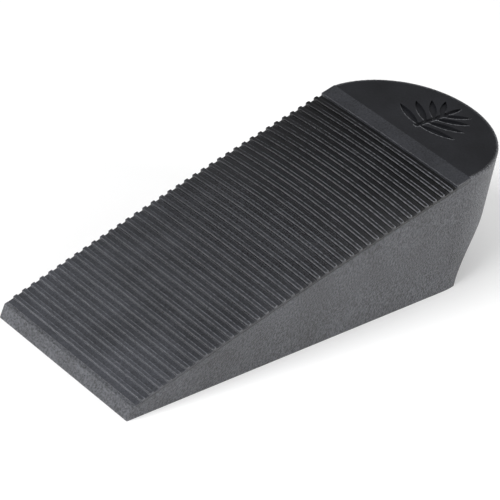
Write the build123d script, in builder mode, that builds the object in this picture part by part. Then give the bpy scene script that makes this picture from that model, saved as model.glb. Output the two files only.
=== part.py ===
"""Rubber door stop: a long grained wedge with a ribbed ramp, a round heel and a coved underside.

The tip points along -X, the round heel along +X, and the wedge stands on z = 0 with the
origin under the middle of its length and width. All sizes are millimetres.
"""
from build123d import *
import os
from math import atan2, degrees, hypot, log, pi, sin

# ---- driving dimensions ----
length = 120.0
width = 46.0
height = 32.2
side_draft = 0.87  # each side wall moves in this much from the plateau down to the base

# tip face and ramp
tip_height = 3.3
tip_lean = 1.0  # the tip face leans back by this much over its height
ramp_crown = 1.0  # the ramp swells this much above a straight line
plate_ledge = 0.55  # rim of the body left bare around the heel plate

# swell of the tread across its width
tread_swell = 1.5  # the tread's middle stands this much above its side edges, where it is highest
swell_share = 0.75  # the highest place, as a share of the ramp's length
swell_least = 0.02  # the smallest rise, which keeps each section's upper line an arc
swell_root = 0.3  # how far the swelled bar reaches below the ramp, so that it takes in the rib roots
swell_start = 1.5  # the swelled surface begins here along the ramp, just past the tread's own start
swell_sections = 9  # the swelled surface is drawn through this many sections

# ribs
rib_count = 37
rib_pitch = 2.53
first_rib = 3.05  # from the tip's upper edge to the middle of the first rib, along the ramp
rib_height = 0.7
rib_base = 1.3
rib_top = 1.05
rib_root = 0.15  # how far each rib's section reaches below the ramp
rib_blank = 2.6  # each rib is first drawn this tall, and the swelled crest then trims it

# heel cove: the quarter-round scoop under the heel
cove_radius = 18.0
cove_setback = 1.0  # the cove's centre line lies this far inside the heel's end

# inlaid pieces
tread_web = 0.6
tread_start = 1.0  # bare body between the tip's upper edge and the tread, along the ramp
heel_plate_thickness = 2.0
sole_thickness = 2.0
sole_margin = 3.0
sole_front_x = -50.0
sole_rear_x = 38.0
sole_corner = 4.0
sole_groove_count = 16
sole_groove_pitch = 5.0
sole_groove_width = 1.6
sole_groove_depth = 0.8

# sprig cut into the heel plate
sprig_depth = 0.6
stem_width = 1.2
stem_start = 4.6  # distances along X from the plateau's straight edge
stem_end = 15.4
leaf_pairs = ((5.6, 9.6, 72.0), (8.2, 9.4, 60.0), (10.8, 8.6, 48.0), (13.2, 7.4, 36.0))  # start, length, turn
end_leaf_length = 6.0
leaf_fullness = 0.21  # a leaf's width over its length

# small roundings
rim_round = 0.3
plate_round = 0.25

# ---- places worked out from the sizes above ----
tip_x = -length / 2
heel_radius = width / 2
plateau_x = length / 2 - heel_radius  # the plateau's straight edge, and the heel's centre
base_half_width = heel_radius - side_draft
cove_x = length / 2 - cove_setback

tip_top = (tip_x + tip_lean, tip_height)
ramp_end = (plateau_x, height - rib_height)
plateau_edge = (plateau_x, height)

ramp_run = ramp_end[0] - tip_top[0]
ramp_rise = ramp_end[1] - tip_top[1]
ramp_chord = hypot(ramp_run, ramp_rise)
ramp_middle = (
    (tip_top[0] + ramp_end[0]) / 2 - ramp_crown * ramp_rise / ramp_chord,
    (tip_top[1] + ramp_end[1]) / 2 + ramp_crown * ramp_run / ramp_chord,
)
ramp_line = ThreePointArc(tip_top, ramp_middle, ramp_end)

# the flat band at the ramp's upper end starts where one more rib would
band_start = first_rib + rib_count * rib_pitch - rib_base / 2
flank = (rib_base - rib_top) / 2
blank_flank = flank * rib_blank / rib_height
swell_skew = log(0.5) / log(swell_share)


def ramp_point(distance, lift=0.0):
    """A side-view point at a distance along the ramp from the tip, raised off the ramp by lift."""
    part_way = distance / ramp_line.length
    spot = ramp_line.position_at(part_way)
    along = ramp_line.tangent_at(part_way)
    return (spot.X - along.Y * lift, spot.Y + along.X * lift)


def ramp_angle(distance):
    """The ramp's slope at a distance along it from the tip, in degrees."""
    along = ramp_line.tangent_at(distance / ramp_line.length)
    return degrees(atan2(along.Y, along.X))


def swell_rise(share):
    """How far the tread's middle stands above its side edges at a share of the ramp's length."""
    return max(tread_swell * sin(pi * share ** swell_skew), swell_least)


def swelled_bar(lift):
    """A bar along the ramp. Its upper face is raised by lift at the sides, and swells in the middle."""
    with BuildPart() as bar:
        for step in range(swell_sections):
            distance = swell_start + (ramp_line.length - swell_start) * step / (swell_sections - 1)
            share = distance / ramp_line.length
            x, z = ramp_point(distance)
            along = ramp_line.tangent_at(share)
            with BuildSketch(Plane((x, 0, z), x_dir=(0, 1, 0), z_dir=(along.X, 0, along.Y))):
                with BuildLine():
                    ThreePointArc((heel_radius, lift), (0, lift + swell_rise(share)), (-heel_radius, lift))
                    Polyline((-heel_radius, lift), (-heel_radius, -swell_root), (heel_radius, -swell_root),
                             (heel_radius, lift))
                make_face()
        loft()
    return bar.part


def wedge_plan(half_width):
    """The wedge's plan: straight sides closed by a half-round heel."""
    front = tip_x - tip_lean
    with BuildSketch() as plan:
        with BuildLine():
            Polyline((plateau_x, half_width), (front, half_width), (front, -half_width),
                     (plateau_x, -half_width))
            ThreePointArc((plateau_x, -half_width), (plateau_x + half_width, 0),
                          (plateau_x, half_width))
        make_face()
    return plan.sketch


def ramp_surface(start):
    """The side view's upper line: from a distance along the ramp, up onto the band, to the plateau."""
    with BuildLine() as surface:
        ThreePointArc(ramp_point(start), ramp_point((start + band_start) / 2), ramp_point(band_start))
        Polyline(ramp_point(band_start), ramp_point(band_start + flank, rib_height), plateau_edge)
    return surface.line


# ---- outlines that more than one piece shares ----
base_plan = wedge_plan(base_half_width)
plateau_plan = wedge_plan(heel_radius)
body_surface = ramp_surface(0)
tread_surface = ramp_surface(tread_start)

plate_radius = heel_radius - plate_ledge
with BuildSketch() as plate_plan:
    with BuildLine():
        Line((plateau_x, plate_radius), (plateau_x, -plate_radius))
        ThreePointArc((plateau_x, -plate_radius), (plateau_x + plate_radius, 0),
                      (plateau_x, plate_radius))
    make_face()

sole_middle_x = (sole_front_x + sole_rear_x) / 2
with BuildSketch() as sole_plan:
    with Locations((sole_middle_x, 0)):
        RectangleRounded(sole_rear_x - sole_front_x, 2 * (base_half_width - sole_margin), sole_corner)


# ---- blank: the drafted outline that trims the body and the tread alike ----
with BuildPart() as blank:
    with BuildSketch():
        add(base_plan)
    with BuildSketch(Plane.XY.offset(height)):
        add(plateau_plan)
    loft(ruled=True)
    top_edges = blank.edges().group_by(Axis.Z)[-1]
    fillet(top_edges.sort_by(Axis.X)[1:], rim_round)


# ---- tread web: the ribbed tread without its ribs, which is also the shape of its seat ----
web_start = ramp_point(tread_start, -tread_web)
web_middle = ramp_point(ramp_line.length / 2, -tread_web)
web_end = (ramp_end[0], ramp_end[1] - tread_web)

with BuildPart() as web:
    with BuildSketch(Plane.XZ):
        with BuildLine():
            add(tread_surface)
            Line(plateau_edge, web_end)
            ThreePointArc(web_end, web_middle, web_start)
            Line(web_start, ramp_point(tread_start))
        make_face()
    extrude(amount=width, both=True)
    add(blank.part, mode=Mode.INTERSECT)


# ---- ribbed tread: a thin web over the whole ramp, with a row of ribs on its swelled floor ----
groove_floor = swelled_bar(0.0)
rib_crests = swelled_bar(rib_height)

with BuildSketch() as rib_section:
    with BuildLine():
        Polyline((-rib_base / 2, -rib_root), (-rib_base / 2, 0), (blank_flank - rib_base / 2, rib_blank),
                 (rib_base / 2 - blank_flank, rib_blank), (rib_base / 2, 0), (rib_base / 2, -rib_root),
                 close=True)
    make_face()

with BuildSketch() as band_section:
    with BuildLine():
        Polyline(ramp_point(band_start, -rib_root), ramp_point(band_start),
                 ramp_point(band_start + blank_flank, rib_blank), ramp_point(ramp_line.length, rib_blank),
                 ramp_point(ramp_line.length, -rib_root), close=True)
    make_face()

with BuildPart() as ribbed_tread:
    with BuildSketch(Plane.XZ):
        for number in range(rib_count):
            rib_middle = first_rib + number * rib_pitch
            with Locations(Location(ramp_point(rib_middle), ramp_angle(rib_middle))):
                add(rib_section.sketch)
        add(band_section.sketch)
    extrude(amount=width, both=True)
    add(rib_crests, mode=Mode.INTERSECT)
    add(groove_floor)
    add(web.part)
    add(blank.part, mode=Mode.INTERSECT)
    split(bisect_by=Plane.YZ.offset(plateau_x), keep=Keep.BOTTOM)
ribbed_tread.part.label = "ribbed_tread"


# ---- wedge body: the grained rubber moulding that the other pieces sit in ----
with BuildPart() as wedge_body:
    add(blank.part)
    with BuildSketch(Plane.XZ):
        with BuildLine():
            Line((tip_x, 0), tip_top)
            add(body_surface)
            Polyline(plateau_edge, (length / 2, height), (length / 2, 0), (tip_x, 0))
        make_face()
    extrude(amount=width, both=True, mode=Mode.INTERSECT)
    with BuildSketch(Plane.XZ):
        with Locations((cove_x, 0)):
            Circle(cove_radius)
            Rectangle(2 * cove_setback, cove_radius, align=(Align.MIN, Align.MIN))
    extrude(amount=width, both=True, mode=Mode.SUBTRACT)
    with BuildSketch(Plane.XY.offset(height - heel_plate_thickness)):
        add(plate_plan.sketch)
    extrude(amount=heel_plate_thickness, mode=Mode.SUBTRACT)
    with BuildSketch():
        add(sole_plan.sketch)
    extrude(amount=sole_thickness, mode=Mode.SUBTRACT)
    add(ribbed_tread.part, mode=Mode.SUBTRACT)
wedge_body.part.label = "wedge_body"


# ---- heel plate: the smooth half-round inlay on the plateau, with an engraved sprig ----
def make_leaf(leaf_length):
    """A pointed leaf that starts at the origin and lies along the X axis."""
    half_spread = leaf_length * leaf_fullness / 2
    with BuildSketch() as leaf:
        with BuildLine():
            ThreePointArc((0, 0), (leaf_length / 2, half_spread), (leaf_length, 0))
            ThreePointArc((0, 0), (leaf_length / 2, -half_spread), (leaf_length, 0))
        make_face()
    return leaf.sketch


side_leaves = [(start, make_leaf(leaf_length), turn) for start, leaf_length, turn in leaf_pairs]
end_leaf = make_leaf(end_leaf_length)

with BuildPart() as heel_plate:
    with BuildSketch(Plane.XY.offset(height - heel_plate_thickness)):
        add(plate_plan.sketch)
    extrude(amount=heel_plate_thickness)
    plate_rim = heel_plate.edges().filter_by(GeomType.CIRCLE).group_by(Axis.Z)[-1]
    fillet(plate_rim, plate_round)
    with BuildSketch(Plane.XY.offset(height - sprig_depth)):
        with Locations((plateau_x + (stem_start + stem_end) / 2, 0)):
            Rectangle(stem_end - stem_start, stem_width)
        for start, leaf, turn in side_leaves:
            for side_turn in (turn, -turn):
                with Locations(Location((plateau_x + start, 0), side_turn)):
                    add(leaf)
        with Locations((plateau_x + stem_end - stem_width, 0)):
            add(end_leaf)
    extrude(amount=sprig_depth, mode=Mode.SUBTRACT)
heel_plate.part.label = "heel_plate"


# ---- grip sole: the non-slip inlay in the base, grooved across ----
with BuildPart() as grip_sole:
    with BuildSketch():
        add(sole_plan.sketch)
    extrude(amount=sole_thickness)
    with BuildSketch():
        with Locations((sole_middle_x, 0)):
            with GridLocations(sole_groove_pitch, 0, sole_groove_count, 1):
                Rectangle(sole_groove_width, 2 * (base_half_width - 2 * sole_margin))
    extrude(amount=sole_groove_depth, mode=Mode.SUBTRACT)
grip_sole.part.label = "grip_sole"


# ---- write each piece ----
os.makedirs("parts", exist_ok=True)
export_step(wedge_body.part, "parts/wedge_body.step")
export_step(ribbed_tread.part, "parts/ribbed_tread.step")
export_step(heel_plate.part, "parts/heel_plate.step")
export_step(grip_sole.part, "parts/grip_sole.step")
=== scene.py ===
"""The look of the rubber door stop: its tread's fine shape, its materials, the light and the camera.

The sizes that shape the tread are millimetres along the ramp, as in the CAD model, and become metres
when the mesh is written. Everything else is in metres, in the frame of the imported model.
"""
import bpy
import bmesh
import math
from mathutils import Matrix, Vector, noise


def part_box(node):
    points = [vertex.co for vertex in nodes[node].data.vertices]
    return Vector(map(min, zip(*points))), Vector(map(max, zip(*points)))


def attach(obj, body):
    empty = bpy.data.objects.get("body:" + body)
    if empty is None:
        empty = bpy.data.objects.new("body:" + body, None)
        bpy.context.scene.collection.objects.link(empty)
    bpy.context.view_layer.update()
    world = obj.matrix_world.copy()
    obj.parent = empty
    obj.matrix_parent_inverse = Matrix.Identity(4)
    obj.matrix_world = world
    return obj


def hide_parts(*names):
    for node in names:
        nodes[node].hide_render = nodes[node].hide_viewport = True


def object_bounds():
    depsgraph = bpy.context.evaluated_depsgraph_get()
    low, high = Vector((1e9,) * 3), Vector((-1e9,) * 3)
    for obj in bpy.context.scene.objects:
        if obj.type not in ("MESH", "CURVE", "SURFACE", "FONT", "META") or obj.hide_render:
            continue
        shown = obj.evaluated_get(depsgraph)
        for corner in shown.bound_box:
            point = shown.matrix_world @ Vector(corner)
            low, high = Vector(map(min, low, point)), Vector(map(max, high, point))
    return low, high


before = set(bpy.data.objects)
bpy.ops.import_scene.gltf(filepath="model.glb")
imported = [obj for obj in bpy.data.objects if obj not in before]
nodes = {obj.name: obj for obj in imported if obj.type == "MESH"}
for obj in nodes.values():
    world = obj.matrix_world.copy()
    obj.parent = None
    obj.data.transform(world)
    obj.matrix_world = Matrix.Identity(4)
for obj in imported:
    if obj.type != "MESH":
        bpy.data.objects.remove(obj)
cad_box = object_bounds()
low, high = cad_box
centre = (low + high) / 2
MM = 0.001

# ---- tread sizes, in millimetres ----
SIDE_DRAFT = 0.87
TIP_HEIGHT = 3.3
TIP_LEAN = 1.0
RAMP_CROWN = 1.0
RIB_COUNT = 37
RIB_PITCH = 2.53
FIRST_RIB = 3.05
RIB_HEIGHT = 0.7
RIB_BASE = 1.3
RIB_TOP = 1.05
RIB_EDGE_RADIUS = 0.2
RIB_ROOT_RADIUS = 0.12
RIB_END_RADIUS = 0.15
TIP_RELIEF = 0.65  # the ribs' height at the tip, as a share of their full height
RELIEF_REACH = 45.0  # from here on along the ramp the ribs have their full height
TREAD_WEB = 0.6
TREAD_START = 1.0
TREAD_SWELL = 1.5  # the tread's middle stands this much above its side edges, where it is highest
SWELL_SHARE = 0.75  # the highest place, as a share of the ramp's length
SWELL_SKEW = math.log(0.5) / math.log(SWELL_SHARE)
WAVER = 0.06  # how far a rib wanders to either side of its straight line
WAVER_SPAN = 9.0  # the wandering's typical length
SINK_SHIFT = Vector((7, 3, 5))  # where in the noise the crests' sinking is read, apart from the sway

# ---- how finely the tread's mesh is divided ----
ROUNDING_STEPS = 4  # steps round each rounded corner
STATION_COUNT = 49  # steps across the tread
RETURN_STEPS = 24  # steps along the web's underside
SHARP_ANGLE = math.radians(50)  # a sharper edge than this isn't smoothed over

# ---- painted highlights on the rib edges and painted light and shade along the tread, from 0 to 1; reaches in millimetres ----
FRONT_HIGHLIGHT = 0.35  # the painted highlight on a rib's front edge, where its rear edge has 1
FRONT_HIGHLIGHT_REACH = 0.24  # how far onto the crest the front edge's painted highlight reaches
REAR_HIGHLIGHT_REACH = 0.34
FLANK_HIGHLIGHT_TOP = 0.6  # the flank has no painted highlight below this share of the rib's height
TIP_HIGHLIGHT = 0.33  # the painted highlight on all edges at the tip
FAR_HIGHLIGHT = 0.03  # the painted highlight on the edges at the heel, on the far side
NEAR_HIGHLIGHT = 1.0  # the painted highlight on the edges at the heel, on the near side, much stronger than on the far side
PAINTED_LIGHT_FADE = 1.3  # how quickly the painted light thins out from the tip towards the painted shade at the heel
BAND_PAINTED_LIGHT = 0.6  # the painted light on the flat band at the ramp's upper end

# ---- camera ----
VIEW_AZIMUTH = math.radians(-47.41)
VIEW_ELEVATION = math.radians(33.1)
VIEW_ROLL = math.radians(10.0)
VIEW_DISTANCE = 0.695
VIEW_LENS = 220.0
VIEW_SENSOR = 36.0
AIM_OFFSET = Vector((-0.0052, 0.0016, -0.0042))


def direction(azimuth, elevation):
    """The unit vector towards a place that is azimuth round from -Y and elevation up, in radians."""
    return Vector((
        math.sin(azimuth) * math.cos(elevation),
        -math.cos(azimuth) * math.cos(elevation),
        math.sin(elevation),
    ))


def make_camera():
    data = bpy.data.cameras.new("view_camera")
    data.lens = VIEW_LENS
    data.sensor_width = VIEW_SENSOR
    data.dof.use_dof = False
    camera = bpy.data.objects.new("view_camera", data)
    bpy.context.scene.collection.objects.link(camera)
    back = direction(VIEW_AZIMUTH, VIEW_ELEVATION)
    aim = (-back).to_track_quat("-Z", "Y").to_matrix() @ Matrix.Rotation(VIEW_ROLL, 3, "Z")
    camera.matrix_world = Matrix.Translation(centre + AIM_OFFSET + back * VIEW_DISTANCE) @ aim.to_4x4()
    bpy.context.scene.camera = camera


# ---- the ramp's side view, in millimetres ----
height = high.z / MM
plateau_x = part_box("heel_plate")[0].x / MM
half_width = -low.x / MM - plateau_x
tip_top = Vector((low.x / MM + TIP_LEAN, TIP_HEIGHT))
plateau_edge = Vector((plateau_x, height))
ramp_end = plateau_edge - Vector((0, RIB_HEIGHT))
ramp_chord = (ramp_end - tip_top).length
ramp_radius = (ramp_chord ** 2 / 4 + RAMP_CROWN ** 2) / (2 * RAMP_CROWN)
chord_angle = math.atan2(ramp_end.y - tip_top.y, ramp_end.x - tip_top.x)
half_turn = math.asin(ramp_chord / 2 / ramp_radius)
ramp_length = 2 * half_turn * ramp_radius
outward = Vector((-math.sin(chord_angle), math.cos(chord_angle)))
ramp_centre = (tip_top + ramp_end) / 2 + outward * (RAMP_CROWN - ramp_radius)
start_turn = math.pi / 2 + chord_angle + half_turn
band_start = FIRST_RIB + RIB_COUNT * RIB_PITCH - RIB_BASE / 2
flank = (RIB_BASE - RIB_TOP) / 2


def ramp_point(distance, lift):
    """The side-view point at a distance along the ramp from the tip, raised off the ramp by lift."""
    turn = start_turn - distance / ramp_radius
    return ramp_centre + (ramp_radius + lift) * Vector((math.cos(turn), math.sin(turn)))


def ramp_place(point):
    """A side-view point's distance along the ramp and its lift: the way back from ramp_point."""
    spoke = point - ramp_centre
    return Vector(((start_turn - math.atan2(spoke.y, spoke.x)) * ramp_radius, spoke.length - ramp_radius))


def ramp_share(distance):
    """A distance along the ramp as a share of its length, from 0 to 1."""
    return min(max(distance / ramp_length, 0), 1)


# ---- the tread's side view: a corner is (place, radius, painted highlight), a place is (distance, lift) ----
def rounded(corners):
    """Corners as (place, painted highlight) points, with an arc at each corner that has a radius."""
    points = []
    for index, (corner, radius, painted_highlight) in enumerate(corners):
        if radius == 0:
            points.append((corner, painted_highlight))
            continue
        before = (corners[index - 1][0] - corner).normalized()
        after = (corners[index + 1][0] - corner).normalized()
        opening = before.angle(after)
        arc_centre = corner + (before + after).normalized() * radius / math.sin(opening / 2)
        reach = radius / math.tan(opening / 2)
        first = corner + before * reach - arc_centre
        last = corner + after * reach - arc_centre
        for step in range(ROUNDING_STEPS + 1):
            blend = step / ROUNDING_STEPS
            points.append((arc_centre + first.lerp(last, blend).normalized() * radius, painted_highlight))
    return points


def rib_corners(middle):
    """One rib's corners: its two roots, its two edges with a painted highlight, and where the highlight
    ends on either side.
    """
    flank_rise = RIB_HEIGHT * FLANK_HIGHLIGHT_TOP
    flank_half = RIB_BASE / 2 - flank * FLANK_HIGHLIGHT_TOP
    return [
        (Vector((middle - RIB_BASE / 2, 0)), RIB_ROOT_RADIUS, 0),
        (Vector((middle - flank_half, flank_rise)), 0, 0),
        (Vector((middle - RIB_TOP / 2, RIB_HEIGHT)), RIB_EDGE_RADIUS, FRONT_HIGHLIGHT),
        (Vector((middle - RIB_TOP / 2 + FRONT_HIGHLIGHT_REACH, RIB_HEIGHT)), 0, 0),
        (Vector((middle + RIB_TOP / 2 - REAR_HIGHLIGHT_REACH, RIB_HEIGHT)), 0, 0),
        (Vector((middle + RIB_TOP / 2, RIB_HEIGHT)), RIB_EDGE_RADIUS, 1),
        (Vector((middle + flank_half, flank_rise)), 0, 0),
        (Vector((middle + RIB_BASE / 2, 0)), RIB_ROOT_RADIUS, 0),
    ]


def tread_outline():
    """The tread's closed side view as (place, painted highlight) points, with its upper line first."""
    corners = [(Vector((TREAD_START, 0)), 0, 0)]
    for number in range(RIB_COUNT):
        corners += rib_corners(FIRST_RIB + number * RIB_PITCH)
    corners.append((Vector((band_start, 0)), RIB_ROOT_RADIUS, 0))
    corners.append((Vector((band_start + flank, RIB_HEIGHT)), RIB_EDGE_RADIUS, 0))
    corners.append((ramp_place(plateau_edge), 0, 0))
    web_end = ramp_place(ramp_end - Vector((0, TREAD_WEB)))
    web_start = Vector((TREAD_START, -TREAD_WEB))
    for step in range(RETURN_STEPS + 1):
        corners.append((web_end.lerp(web_start, step / RETURN_STEPS), 0, 0))
    return rounded(corners)


def inset_outline(outline, depth):
    """The closed outline moved inwards by depth, each point along the bisector of its two edges."""
    moved = []
    for index, point in enumerate(outline):
        before = (point - outline[index - 1]).normalized()
        after = (outline[(index + 1) % len(outline)] - point).normalized()
        along = (before + after).normalized()
        moved.append(point + Vector((along.y, -along.x)) * depth)
    return moved


# ---- the tread across its width; side is a share of the half width, -1 near and 1 far ----
def tread_stations():
    """Across the tread: (side, millimetres in from the wall, inset of the outline) per station."""
    ends = []
    for step in range(ROUNDING_STEPS + 1):
        turn = math.pi / 2 * step / ROUNDING_STEPS
        ends.append((1, RIB_END_RADIUS * (1 - math.cos(turn)), RIB_END_RADIUS * (1 - math.sin(turn))))
    inner = []
    for step in range(1, STATION_COUNT):
        inner.append((1 - 2 * step / STATION_COUNT, 0, 0))
    near = [(-side, inwards, inset) for side, inwards, inset in reversed(ends)]
    return ends + inner + near


def swell_at(distance, side):
    """How far the tread's swell lifts it."""
    rise = TREAD_SWELL * math.sin(math.pi * ramp_share(distance) ** SWELL_SKEW)
    return rise * (1 - side * side)


def relief_at(distance):
    """The share of their full height that the ribs have."""
    return TIP_RELIEF + (1 - TIP_RELIEF) * min(max(distance / RELIEF_REACH, 0), 1)


def highlight_at(distance, side):
    """How strong the painted highlight on the rib edges is."""
    heel_highlight = FAR_HIGHLIGHT + (NEAR_HIGHLIGHT - FAR_HIGHLIGHT) * (1 - side) / 2
    return TIP_HIGHLIGHT + (heel_highlight - TIP_HIGHLIGHT) * ramp_share(distance)


def painted_light_at(distance):
    """How much painted light the tread gets: 1 at the tip, less towards the heel, and a fixed share on
    the band.
    """
    if distance > band_start:
        return BAND_PAINTED_LIGHT
    return (1 - max(distance, 0) / ramp_length) ** PAINTED_LIGHT_FADE


def tread_spot(distance, lift, side, inwards):
    """Where a point of the tread's outline comes to lie at one station, in metres.

    Only the upper surface swells, and only the ribs sway and sink.
    """
    wall = half_width - SIDE_DRAFT * (1 - ramp_point(distance, lift).y / height)
    across = side * min(wall, high.y / MM) - math.copysign(inwards, side)
    spot = Vector((distance / WAVER_SPAN, across / WAVER_SPAN, 0))
    loose = max(lift, 0) / RIB_HEIGHT if distance < band_start else 0
    sway = WAVER * noise.noise(spot) * loose
    sink = WAVER * (noise.noise(spot * 2 + SINK_SHIFT) - 1) * loose / 2
    swell = swell_at(distance, side) if lift > -TREAD_WEB / 2 else 0
    rise = lift * relief_at(distance) if lift > 0 else lift
    place = ramp_point(distance + sway, rise + sink + swell)
    return Vector((place.x, across, place.y)) * MM


def make_tread():
    """The ribbed tread as a mesh that also holds each vertex's painted highlight and painted light."""
    highlighted_outline = tread_outline()
    outline = [place for place, painted_highlight in highlighted_outline]
    mesh = bmesh.new()
    highlight_layer = mesh.verts.layers.float.new("painted_highlight")
    painted_light_layer = mesh.verts.layers.float.new("painted_light")
    rows = []
    for side, inwards, inset in tread_stations():
        row = []
        for (distance, lift), (place, painted_highlight) in zip(inset_outline(outline, inset), highlighted_outline):
            vertex = mesh.verts.new(tread_spot(distance, lift, side, inwards))
            vertex[highlight_layer] = painted_highlight * highlight_at(distance, side)
            vertex[painted_light_layer] = painted_light_at(distance)
            row.append(vertex)
        rows.append(row)
    for row, next_row in zip(rows, rows[1:]):
        for index in range(len(outline)):
            mesh.faces.new((row[index - 1], row[index], next_row[index], next_row[index - 1]))
    mesh.faces.new(rows[0][::-1])
    mesh.faces.new(rows[-1])
    bmesh.ops.recalc_face_normals(mesh, faces=mesh.faces)
    for face in mesh.faces:
        face.smooth = True
    data = bpy.data.meshes.new("tread_shape")
    mesh.to_mesh(data)
    mesh.free()
    data.set_sharp_from_angle(angle=SHARP_ANGLE)
    tread = bpy.data.objects.new("tread_shape", data)
    bpy.context.scene.collection.objects.link(tread)
    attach(tread, "root")
    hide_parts("ribbed_tread")
    return tread


# ---- the carried-over CAD nodes ----
BODY_BEVEL = 0.0002
PLATE_BEVEL = 0.00015
SOLE_BEVEL = 0.0002
BEVEL_SEGMENTS = 3
BEVEL_FROM = math.radians(40)  # only edges sharper than this are rounded


def soften(node, width):
    """Rounds a CAD node's sharp edges with a bevel."""
    bevel = node.modifiers.new("soft_edges", "BEVEL")
    bevel.width = width
    bevel.segments = BEVEL_SEGMENTS
    bevel.limit_method = "ANGLE"
    bevel.angle_limit = BEVEL_FROM
    bevel.harden_normals = False
    bevel.use_clamp_overlap = True


# ---- shader building blocks; noise scales are per metre ----
MIX_FIRST, MIX_SECOND, MIX_RESULT = 6, 7, 2  # a Mix node's colour sockets
GRAIN_DETAIL = 3.0
GRAIN_ROUGHNESS = 0.6
GRAIN_RANGE = (0.35, 0.65)  # the part of the grain's noise that its tone spans
MOTTLE = 0.25  # how much lighter or darker the broad mottle makes the colour
MOTTLE_SCALE = 90.0
MOTTLE_DETAIL = 4.0
MOTTLE_RANGE = (0.3, 0.7)
POLISH_SPREAD = 0.06  # how far the roughness strays to either side
PATCH_SCALE = 1300.0
PATCH_DETAIL = 4.0
PATCH_RANGE = (0.38, 0.58)
PATCH_LEAST = 0.3  # what is left of the lightening between its patches
EDGE_SAMPLES = 6
EDGE_LIKENESS = (0.995, 0.85)  # rounded against plain normal: from no edge to a full edge
EDGE_LEAN = (0.1, 0.35)  # how far an edge leans to the chosen side: from not at all to fully


def socket_of(material):
    """The socket that takes a material's colour."""
    return material.node_tree.nodes["Principled BSDF"].inputs["Base Color"]


def map_range(tree, value, from_range=(0, 1), to_range=(0, 1)):
    """A value mapped from one range to another, and held within the second."""
    node = tree.nodes.new("ShaderNodeMapRange")
    node.inputs["From Min"].default_value, node.inputs["From Max"].default_value = from_range
    node.inputs["To Min"].default_value, node.inputs["To Max"].default_value = to_range
    tree.links.new(value, node.inputs["Value"])
    return node.outputs["Result"]


def multiply(tree, first, second):
    """The product of two values."""
    node = tree.nodes.new("ShaderNodeMath")
    node.operation = "MULTIPLY"
    tree.links.new(first, node.inputs[0])
    tree.links.new(second, node.inputs[1])
    return node.outputs["Value"]


def scale_socket(tree, colour, factor):
    """A colour multiplied by a value."""
    node = tree.nodes.new("ShaderNodeVectorMath")
    node.operation = "SCALE"
    tree.links.new(colour, node.inputs[0])
    tree.links.new(factor, node.inputs["Scale"])
    return node.outputs["Vector"]


def blend_colour(tree, factor, first, second):
    """A mix of two colours, each an RGB triple or a socket."""
    mix = tree.nodes.new("ShaderNodeMix")
    mix.data_type = "RGBA"
    tree.links.new(factor, mix.inputs["Factor"])
    for socket, value in ((mix.inputs[MIX_FIRST], first), (mix.inputs[MIX_SECOND], second)):
        if isinstance(value, tuple):
            socket.default_value = (*value, 1)
        else:
            tree.links.new(value, socket)
    return mix.outputs[MIX_RESULT]


def object_noise(tree, scale, detail):
    """A noise texture that is fixed to the object."""
    place = tree.nodes.new("ShaderNodeTexCoord")
    texture = tree.nodes.new("ShaderNodeTexNoise")
    texture.inputs["Scale"].default_value = scale
    texture.inputs["Detail"].default_value = detail
    tree.links.new(place.outputs["Object"], texture.inputs["Vector"])
    return texture


def vertex_value(tree, name):
    """A value that the mesh holds for each vertex."""
    attribute = tree.nodes.new("ShaderNodeAttribute")
    attribute.attribute_name = name
    return attribute.outputs["Fac"]


def edge_mask(tree, reach, facing=None):
    """A value that is 1 on a sharp edge and fades to 0 by reach away from it, in metres.

    With facing, a direction in the object's frame, only edges that lean that way count.
    """
    bevel = tree.nodes.new("ShaderNodeBevel")
    bevel.samples = EDGE_SAMPLES
    bevel.inputs["Radius"].default_value = reach
    geometry = tree.nodes.new("ShaderNodeNewGeometry")
    likeness = tree.nodes.new("ShaderNodeVectorMath")
    likeness.operation = "DOT_PRODUCT"
    tree.links.new(bevel.outputs["Normal"], likeness.inputs[0])
    tree.links.new(geometry.outputs["Normal"], likeness.inputs[1])
    mask = map_range(tree, likeness.outputs["Value"], EDGE_LIKENESS)
    if facing is None:
        return mask
    lean = tree.nodes.new("ShaderNodeVectorMath")
    lean.operation = "DOT_PRODUCT"
    lean.inputs[1].default_value = facing
    tree.links.new(bevel.outputs["Normal"], lean.inputs[0])
    return multiply(tree, mask, map_range(tree, lean.outputs["Value"], EDGE_LEAN))


# ---- materials ----
TIP_LIGHTER_REACH = 0.018  # the body's lighter tip fades out over this distance from the tip
# Straight away from the photo's camera. The photo shows light lines on the plate's edges that lean
# this way, and they are painted there. The direction is fixed to the object in every other view.
PLATE_LIT_SIDE = direction(VIEW_AZIMUTH + math.pi, 0)


def shade(colour, factor):
    """An RGB colour made lighter or darker by a factor."""
    return tuple(channel * factor for channel in colour)


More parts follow.
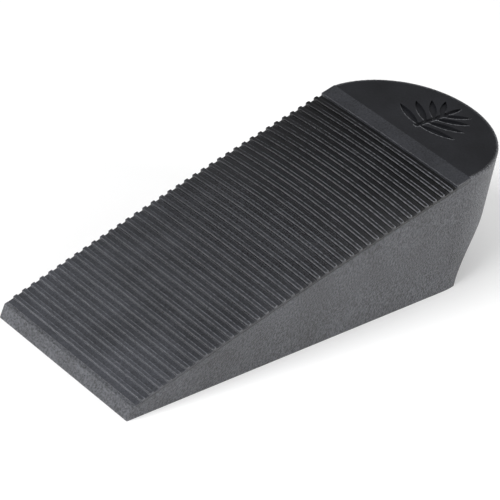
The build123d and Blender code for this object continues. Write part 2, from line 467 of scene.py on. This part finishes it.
def rubber(name, colour, roughness, grain_size, grain_depth, grain_tone=0.15):
    """Moulded black rubber with a fine grain in bump and tone, and a broad faint mottle."""
    material = bpy.data.materials.new(name)
    material.use_nodes = True
    tree = material.node_tree
    shader = tree.nodes["Principled BSDF"]

    grain = object_noise(tree, 1 / grain_size, GRAIN_DETAIL)
    grain.inputs["Roughness"].default_value = GRAIN_ROUGHNESS
    bump = tree.nodes.new("ShaderNodeBump")
    bump.inputs["Strength"].default_value = 1.0
    bump.inputs["Distance"].default_value = grain_depth
    tree.links.new(grain.outputs["Fac"], bump.inputs["Height"])
    tree.links.new(bump.outputs["Normal"], shader.inputs["Normal"])

    cloud = object_noise(tree, MOTTLE_SCALE, MOTTLE_DETAIL)
    broad = map_range(tree, cloud.outputs["Fac"], MOTTLE_RANGE)
    cloudy = blend_colour(tree, broad, shade(colour, 1 - MOTTLE), shade(colour, 1 + MOTTLE))
    fine = map_range(tree, grain.outputs["Fac"], GRAIN_RANGE, (1 - grain_tone, 1 + grain_tone))
    tree.links.new(scale_socket(tree, cloudy, fine), shader.inputs["Base Color"])

    polish_range = (roughness - POLISH_SPREAD, roughness + POLISH_SPREAD)
    polish = map_range(tree, cloud.outputs["Fac"], to_range=polish_range)
    tree.links.new(polish, shader.inputs["Roughness"])
    return material


def add_wear_and_highlight(material, mask, colour, amount):
    """Lightens a material towards a colour where mask is 1, in patches, by an amount up to 1: wear on the
    body and sole, painted highlights on the tread and plate.
    """
    tree = material.node_tree
    patches = object_noise(tree, PATCH_SCALE, PATCH_DETAIL)
    patchy = map_range(tree, patches.outputs["Fac"], PATCH_RANGE, (PATCH_LEAST * amount, amount))
    socket = socket_of(material)
    lightened = blend_colour(tree, multiply(tree, mask, patchy), socket.links[0].from_socket, colour)
    tree.links.new(lightened, socket)


def scale_colour(material, value, least, most):
    """Multiplies a material's colour by least where a value is 0, rising to most where it is 1."""
    tree = material.node_tree
    socket = socket_of(material)
    level = map_range(tree, value, to_range=(least, most))
    tree.links.new(scale_socket(tree, socket.links[0].from_socket, level), socket)


def tip_share(tree):
    """A value that is 1 at the wedge's tip and falls to 0 by TIP_LIGHTER_REACH behind it."""
    place = tree.nodes.new("ShaderNodeTexCoord")
    split = tree.nodes.new("ShaderNodeSeparateXYZ")
    tree.links.new(place.outputs["Object"], split.inputs["Vector"])
    return map_range(tree, split.outputs["X"], (low.x + TIP_LIGHTER_REACH, low.x))


def tread_material():
    """Smooth dark rubber with painted light towards the tip, painted shade towards the heel, and painted
    highlights on the rib edges.
    """
    material = rubber("tread_rubber", colour=(0.0179, 0.0187, 0.0217), roughness=0.25,
                      grain_size=0.0004, grain_depth=0.00004, grain_tone=0.28)
    tree = material.node_tree
    # Painted light and shade: the colour is lighter towards the tip and darker towards the heel.
    scale_colour(material, vertex_value(tree, "painted_light"), least=0.2, most=2.4)
    # Painted highlights along the rib edges, strongest on the rear edges and, at the heel, on the near
    # side.
    add_wear_and_highlight(material, vertex_value(tree, "painted_highlight"), colour=(0.195, 0.203, 0.228), amount=1.0)
    return material


def body_material():
    """Grained rubber, a little lighter at the tip."""
    material = rubber("grained_rubber", colour=(0.0545, 0.0565, 0.064), roughness=0.4,
                      grain_size=0.0005, grain_depth=0.0005, grain_tone=0.65)
    tree = material.node_tree
    scale_colour(material, tip_share(tree), least=0.98, most=1.25)
    add_wear_and_highlight(material, edge_mask(tree, reach=0.0005), colour=(0.1, 0.101, 0.106), amount=0.5)
    return material


def plate_material():
    """Smooth, very dark rubber, with a painted highlight along the edges that lean to PLATE_LIT_SIDE."""
    material = rubber("smooth_rubber", colour=(0.012, 0.0125, 0.015), roughness=0.42,
                      grain_size=0.0004, grain_depth=0.00003)
    tree = material.node_tree
    tree.nodes["Principled BSDF"].inputs["Specular IOR Level"].default_value = 0.25
    lit_edges = edge_mask(tree, reach=0.0006, facing=PLATE_LIT_SIDE)
    # Painted highlight: the edges of the rim and the sprig that lean to PLATE_LIT_SIDE are made lighter.
    add_wear_and_highlight(material, lit_edges, colour=(0.24, 0.245, 0.26), amount=1.0)
    return material


def sole_material():
    """Dull rubber with lightly rubbed groove edges."""
    material = rubber("sole_rubber", colour=(0.05, 0.05, 0.052), roughness=0.6,
                      grain_size=0.0003, grain_depth=0.00004)
    worn_edges = edge_mask(material.node_tree, reach=0.0005)
    add_wear_and_highlight(material, worn_edges, colour=(0.09, 0.09, 0.092), amount=0.5)
    return material


def paint(piece, material):
    """Gives a piece one material and no other."""
    piece.data.materials.clear()
    piece.data.materials.append(material)


# ---- light, sky and floor ----
LIGHT_DISTANCE = 0.8
LIGHT_SIZE = 0.5
SKY_STRENGTH = 0.2
WHITE = (1, 1, 1, 1)
FLOOR_SIZE = 6
FLOOR_COLOUR = (0.84, 0.84, 0.84, 1)
FLOOR_ROUGHNESS = 0.9
FLOOR_GLOW = 0.12


def add_softbox(name, azimuth, elevation, energy, width=LIGHT_SIZE, tall=LIGHT_SIZE):
    """An area light aimed at the object's centre; its azimuth and elevation are degrees."""
    data = bpy.data.lights.new(name, "AREA")
    data.energy = energy
    data.shape = "RECTANGLE"
    data.size = width
    data.size_y = tall
    light = bpy.data.objects.new(name, data)
    bpy.context.scene.collection.objects.link(light)
    towards = direction(math.radians(azimuth), math.radians(elevation))
    light.location = centre + towards * LIGHT_DISTANCE
    light.rotation_mode = "QUATERNION"
    light.rotation_quaternion = (-towards).to_track_quat("-Z", "Y")


def make_lights():
    add_softbox("near_right", azimuth=35, elevation=15, energy=4.1)
    add_softbox("tip_high", azimuth=-90, elevation=45, energy=5.2)
    add_softbox("tip_low", azimuth=-90, elevation=12, energy=1.0)
    add_softbox("tip_strip", azimuth=-120, elevation=7, energy=2.2, width=0.4, tall=0.14)
    add_softbox("heel_low", azimuth=80, elevation=20, energy=1.7)
    add_softbox("overhead", azimuth=0, elevation=88, energy=1.3)
    add_softbox("back_low", azimuth=180, elevation=30, energy=0.2)


def make_world():
    world = bpy.data.worlds.new("studio")
    world.use_nodes = True
    background = world.node_tree.nodes["Background"]
    background.inputs["Color"].default_value = WHITE
    background.inputs["Strength"].default_value = SKY_STRENGTH
    bpy.context.scene.world = world


def make_floor():
    """A pale floor that glows a little, so that it stays white where the lights fall off."""
    bpy.ops.mesh.primitive_plane_add(size=FLOOR_SIZE, location=(0, 0, low.z))
    floor = bpy.context.object
    floor.name = "floor"
    material = bpy.data.materials.new("pale_floor")
    material.use_nodes = True
    shader = material.node_tree.nodes["Principled BSDF"]
    shader.inputs["Base Color"].default_value = FLOOR_COLOUR
    shader.inputs["Roughness"].default_value = FLOOR_ROUGHNESS
    shader.inputs["Emission Color"].default_value = WHITE
    shader.inputs["Emission Strength"].default_value = FLOOR_GLOW
    paint(floor, material)


# ---- the scene ----
make_camera()
bpy.context.scene.view_settings.view_transform = "Standard"

paint(make_tread(), tread_material())
paint(nodes["wedge_body"], body_material())
paint(nodes["heel_plate"], plate_material())
paint(nodes["grip_sole"], sole_material())
soften(nodes["wedge_body"], BODY_BEVEL)
soften(nodes["heel_plate"], PLATE_BEVEL)
soften(nodes["grip_sole"], SOLE_BEVEL)

make_world()
make_lights()
make_floor()
